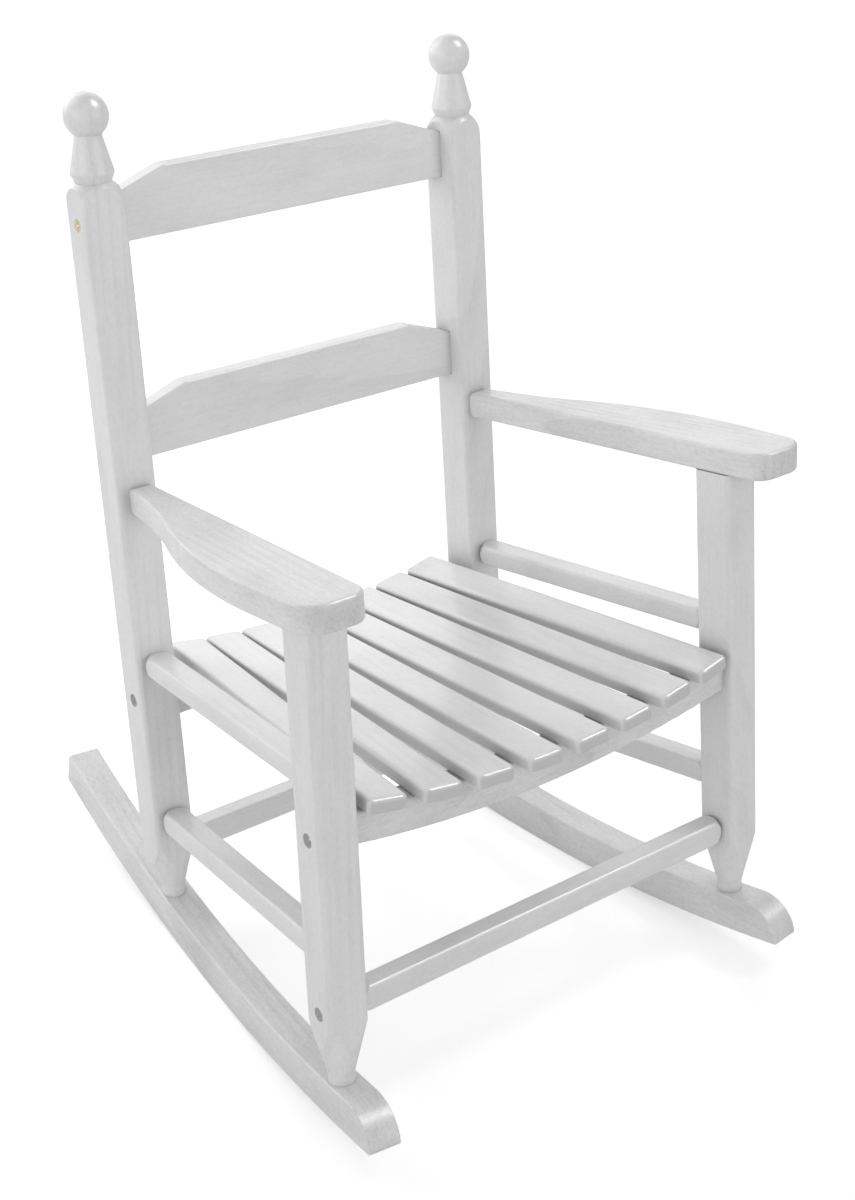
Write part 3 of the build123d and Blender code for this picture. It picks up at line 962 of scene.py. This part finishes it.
@dataclass(frozen=True)
class Lamp:
    """A distant soft lamp, with its softness in degrees."""

    name: str
    comes_from: Point
    strength: float
    softness: float
    gloss_only: bool = False

    def build(self) -> None:
        """Hang the lamp."""
        light = bpy.data.lights.new(self.name, "SUN")
        light.energy = self.strength
        light.angle = math.radians(self.softness)
        lamp = hang(self.name, light, Vector(self.comes_from))
        lamp.visible_diffuse = not self.gloss_only


@dataclass(frozen=True)
class SoftBox:
    """A square lamp that stands near the chair, with its side in metres."""

    name: str
    place: Point
    aimed_at: Point
    side: float
    watts: float

    def build(self) -> None:
        """Hang the lamp, out of the camera's sight."""
        light = bpy.data.lights.new(self.name, "AREA")
        light.shape = "SQUARE"
        light.size = self.side
        light.energy = self.watts
        lamp = hang(self.name, light, Vector(self.place) - Vector(self.aimed_at))
        lamp.location = self.place
        lamp.visible_camera = False


@dataclass(frozen=True)
class StudioCamera:
    """The camera, with its angles in degrees and its lens in millimetres."""

    place: Point = (-0.7453, -0.91877, 0.89695)
    azimuth: float = 39.50
    elevation: float = 31.94
    roll: float = 2.55
    lens: float = 61.13
    sensor_width: float = 36.0
    shift: tuple[float, float] = (0.0166, 0.0910)
    sight: Range = (0.05, 60.0)

    def build(self) -> None:
        """Set up the camera and make it the scene's own."""
        data = bpy.data.cameras.new("camera")
        data.lens = self.lens
        data.sensor_width = self.sensor_width
        data.shift_x, data.shift_y = self.shift
        data.clip_start, data.clip_end = self.sight
        camera = bpy.data.objects.new("camera", data)
        camera.matrix_world = Matrix.Translation(self.place) @ self._turned().to_4x4()
        bpy.context.scene.collection.objects.link(camera)
        bpy.context.scene.camera = camera

    def _turned(self) -> Matrix:
        """Work out how the camera is turned.

        Returns:
            Rotation from the camera's own axes.
        """
        azimuth = math.radians(self.azimuth)
        elevation = math.radians(self.elevation)
        reach = math.cos(elevation)
        forward = Vector((math.sin(azimuth) * reach, math.cos(azimuth) * reach, -math.sin(elevation)))
        level = Vector((math.cos(azimuth), -math.sin(azimuth), 0.0))
        upright = level.cross(forward)
        basis = Matrix((level, upright, -forward)).transposed()
        return basis @ Matrix.Rotation(math.radians(self.roll), 3, "Z")


@dataclass(frozen=True)
class Studio:
    """Pale floor, soft light and camera."""

    floor_radius: float = 9.0
    floor_corners: int = 96
    floor_tone: float = 0.80
    floor_lift: float = 0.50
    sky_strength: float = 0.40
    mirror_strength: float = 0.60
    backdrop_strength: float = 1.0
    lamps: tuple[Lamp | SoftBox, ...] = (
        Lamp("overhead", (0.48, -0.10, 0.87), 0.30, 12.0),
        Lamp("highlight", (0.53, -0.30, 0.79), 2.2, 28.0, gloss_only=True),
        Lamp("back_right", (0.57, 0.70, 0.43), 0.40, 40.0),
        Lamp("left_fill", (-0.98, -0.10, 0.16), 0.95, 50.0),
        Lamp("front_fill", (0.36, -0.93, 0.10), 0.84, 50.0),
        SoftBox("back_soft_box", (-0.30, 1.10, 0.95), (0.0, 0.0, 0.25), 1.2, 7.5),
    )
    camera: StudioCamera = StudioCamera()

    def build(self) -> None:
        """Set up the whole studio."""
        self._floor()
        self._sky()
        for lamp in self.lamps:
            lamp.build()
        self.camera.build()
        bpy.context.scene.view_settings.view_transform = "Standard"

    def _floor(self) -> None:
        """Make the pale floor."""
        maker = bmesh.new()
        bmesh.ops.create_circle(
            maker, cap_ends=True, segments=self.floor_corners, radius=self.floor_radius
        )
        mesh = bpy.data.meshes.new("studio_floor")
        maker.to_mesh(mesh)
        maker.free()
        piece = bpy.data.objects.new("studio_floor", mesh)
        bpy.context.scene.collection.objects.link(piece)
        mesh.materials.append(self._floor_material())

    def _floor_material(self) -> bpy.types.Material:
        """Make the floor's matt colour, which reads as white where no shadow falls.

        Returns:
            The material.
        """
        graph = Graph("pale_floor")
        matt = graph.node("ShaderNodeBsdfDiffuse")
        matt.inputs["Color"].default_value = (self.floor_tone, self.floor_tone, self.floor_tone, 1.0)
        paths = graph.node("ShaderNodeLightPath")
        lift = graph.node("ShaderNodeEmission")
        strength = graph.math("MULTIPLY", paths.outputs["Is Camera Ray"], self.floor_lift)
        graph.link(strength, lift.inputs["Strength"])
        both = graph.node("ShaderNodeAddShader")
        graph.link(matt.outputs["BSDF"], both.inputs[0])
        graph.link(lift.outputs["Emission"], both.inputs[1])
        output = graph.node("ShaderNodeOutputMaterial")
        graph.link(both.outputs["Shader"], output.inputs["Surface"])
        return graph.material

    def _sky(self) -> None:
        """Light the room evenly and show it white behind the chair."""
        world = bpy.data.worlds.new("studio")
        bpy.context.scene.world = world
        world.use_nodes = True
        tree = world.node_tree
        tree.nodes.clear()
        paths = tree.nodes.new("ShaderNodeLightPath")
        seen = tree.nodes.new("ShaderNodeMapRange")
        seen.inputs["To Min"].default_value = self.sky_strength
        seen.inputs["To Max"].default_value = self.backdrop_strength
        tree.links.new(paths.outputs["Is Camera Ray"], seen.inputs["Value"])
        strength = tree.nodes.new("ShaderNodeMath")
        strength.operation = "MULTIPLY_ADD"
        strength.inputs[1].default_value = self.mirror_strength - self.sky_strength
        tree.links.new(paths.outputs["Is Glossy Ray"], strength.inputs[0])
        tree.links.new(seen.outputs["Result"], strength.inputs[2])
        background = tree.nodes.new("ShaderNodeBackground")
        background.inputs["Color"].default_value = (1.0, 1.0, 1.0, 1.0)
        tree.links.new(strength.outputs["Value"], background.inputs["Strength"])
        output = tree.nodes.new("ShaderNodeOutputWorld")
        tree.links.new(background.outputs["Background"], output.inputs["Surface"])


def screw_sets() -> list[ScrewSet]:
    """List the screws of the chair.

    Returns:
        One set for each screw node.
    """
    brass = ScrewMetal("screw_brass", (0.94, 0.88, 0.64), (0.80, 0.72, 0.46), 0.30)
    zinc = ScrewMetal("screw_zinc", (0.84, 0.84, 0.83), (0.60, 0.59, 0.57), 0.34)
    return [
        ScrewSet("brass_slat_screws", "back_slat_screws", Slot.BRASS, brass),
        ScrewSet("brass_arm_screws", "arm_screws", Slot.BRASS, brass),
        ScrewSet("zinc_rail_screws", "seat_rail_screws", Slot.ZINC, zinc),
        ScrewSet("zinc_stretcher_screws", "stretcher_screws", Slot.ZINC, zinc),
    ]


def dress_brads(nodes: Nodes) -> bpy.types.Object:
    """Give the hidden brads their own zinc plating.

    Args:
        nodes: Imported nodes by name.

    Returns:
        The brads.
    """
    brads = nodes["seat_slat_brads"]
    plating = ScrewMetal("brad_zinc", (0.66, 0.66, 0.65), (0.45, 0.45, 0.44), 0.38).material()
    for place in brads.material_slots:
        place.material = plating
    return brads


def main() -> None:
    """Dress the chair, light it and set up the camera."""
    logging.basicConfig(level=logging.INFO, format="%(name)s: %(message)s")
    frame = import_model()
    nodes = frame["nodes"]
    for board in Woodwork().dress(nodes):
        LOG.info("painted %s", board.name)
    LOG.info("plated %s", dress_brads(nodes).name)
    for side in Side:
        LOG.info("made %s", ArmEnd(side).build(nodes).name)
    for screws in screw_sets():
        LOG.info("made %s", screws.build(nodes).name)
    Studio().build()


if __name__ == "__main__":
    main()
